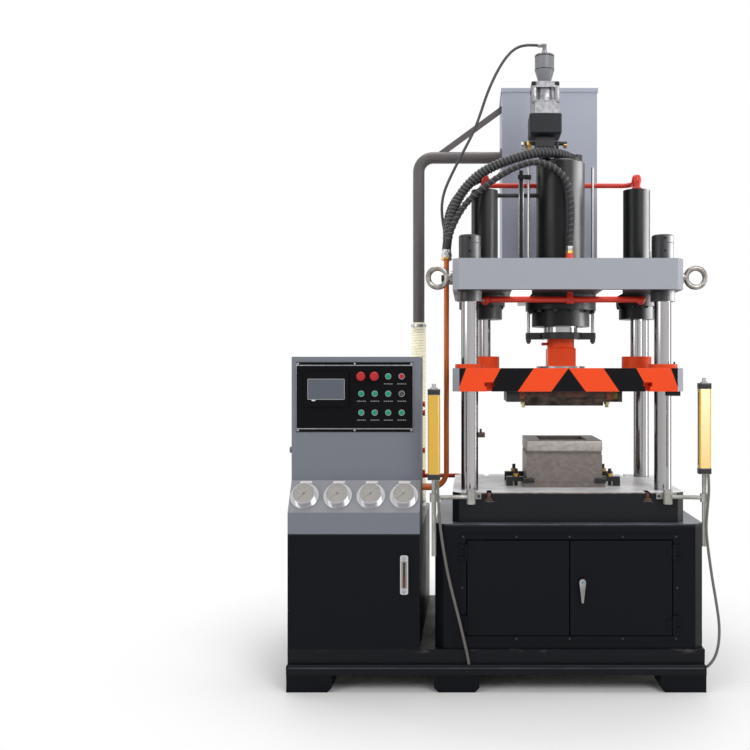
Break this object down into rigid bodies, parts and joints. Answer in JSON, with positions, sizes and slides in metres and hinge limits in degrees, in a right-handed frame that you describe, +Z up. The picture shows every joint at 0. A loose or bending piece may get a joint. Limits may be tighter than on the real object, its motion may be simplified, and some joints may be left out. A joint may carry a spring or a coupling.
{
  "type": "four-column hydraulic press",
  "caption": "Upright hydraulic press with round columns, a sliding platen banded orange and black, a doored base and a side console with a power unit on a shared skid.",
  "frame": {"origin": "on the floor under the middle of the whole machine's box, cords left out", "axes": "+Z up, -Y towards the operator who faces the doors, +X to the operator's right"},
  "size_m": [1.873, 1.2453, 2.9275],
  "materials": {
    "base_black": "satin near-black paint",
    "chrome": "polished hard chrome",
    "black_steel": "black oxide",
    "grey_paint": "satin grey paint",
    "raw_steel": "machined steel",
    "lamp_white": "opal diffuser",
    "orange_paint": "gloss orange paint",
    "red_paint": "gloss red paint",
    "die_steel": "oiled tool steel",
    "motor_silver": "cast aluminium",
    "grey_plastic": "moulded plastic",
    "clear_hose": "clear plastic hose",
    "console_grey": "satin grey paint",
    "panel_black": "black plate",
    "cylinder_black": "satin dark grey paint",
    "amber_paint": "gloss amber paint",
    "galvanised": "galvanised steel",
    "button_plastic": "coloured caps in chrome rings",
    "gauge_chrome": "chrome case, white dial",
    "motor_blue": "blue-grey paint",
    "curtain_yellow": "yellow paint",
    "hose_rubber": "black rubber",
    "cable_black": "black sheath"
  },
  "bodies": {
    "frame": {"skid_feet": "base_black", "skid": "base_black", "cabinet_sides": "base_black", "cabinet_back": "base_black", "cabinet_front": "base_black", "cabinet_top": "base_black", "bed": "base_black", "columns": "chrome", "column_nuts": "black_steel", "crown": "grey_paint", "eye_bolts": "raw_steel", "work_lamps": "lamp_white", "main_cylinder": "cylinder_black", "return_cylinders": "cylinder_black", "return_pipes": "red_paint", "lower_die": "die_steel", "die_clamps": "black_steel", "drive_neck": "black_steel", "drive_gearbox": "black_steel", "drive_motor": "motor_silver", "encoder_cup": "grey_plastic", "top_tank": "grey_paint", "top_tank_lid": "grey_paint", "overflow_pipe": "grey_paint", "overflow_hose": "clear_hose", "feed_pipes": "amber_paint", "pipe_clamp": "black_steel", "hose_fittings": "raw_steel", "oil_tank": "base_black", "oil_tank_lid": "base_black", "console": "console_grey", "control_panel": "panel_black", "touch_screen": "grey_plastic", "panel_buttons": "button_plastic", "gauges": "gauge_chrome", "valve_manifold": "black_steel", "pump_motor": "motor_blue", "manifold_pipes": "red_paint", "light_curtains": "curtain_yellow", "curtain_posts": "galvanised", "main_hose": "hose_rubber", "front_hose": "hose_rubber", "return_hose": "hose_rubber", "drive_cable": "cable_black", "left_curtain_cable": "cable_black", "right_curtain_cable": "cable_black"},
    "slide": {"slide": "grey_paint", "slide_flanges": "orange_paint", "main_ram": "chrome", "ram_yoke": "black_steel", "guide_rods": "raw_steel", "ram_coupling": "orange_paint", "coupling_seat": "raw_steel", "return_rods": "chrome", "upper_die": "die_steel"},
    "left_door": {"left_door": "base_black"},
    "right_door": {"right_door": "base_black"},
    "door_handle": {"door_handle": "chrome"}
  },
  "joints": [
    {"name": "slide_stroke", "type": "slide", "parent": "frame", "child": "slide", "axis": [0, 0, -1], "range_m": [0, 0.15]},
    {"name": "left_door_swing", "type": "hinge", "parent": "frame", "child": "left_door", "pos_m": [-0.144, -0.5845, 0.443], "axis": [0, 0, -1], "range_deg": [0, 90]},
    {"name": "right_door_swing", "type": "hinge", "parent": "frame", "child": "right_door", "pos_m": [0.75, -0.5845, 0.443], "axis": [0, 0, 1], "range_deg": [0, 90]},
    {"name": "handle_turn", "type": "hinge", "parent": "right_door", "child": "door_handle", "pos_m": [0.356, -0.584, 0.472], "axis": [0, -1, 0], "range_deg": [0, 90]}
  ]
}
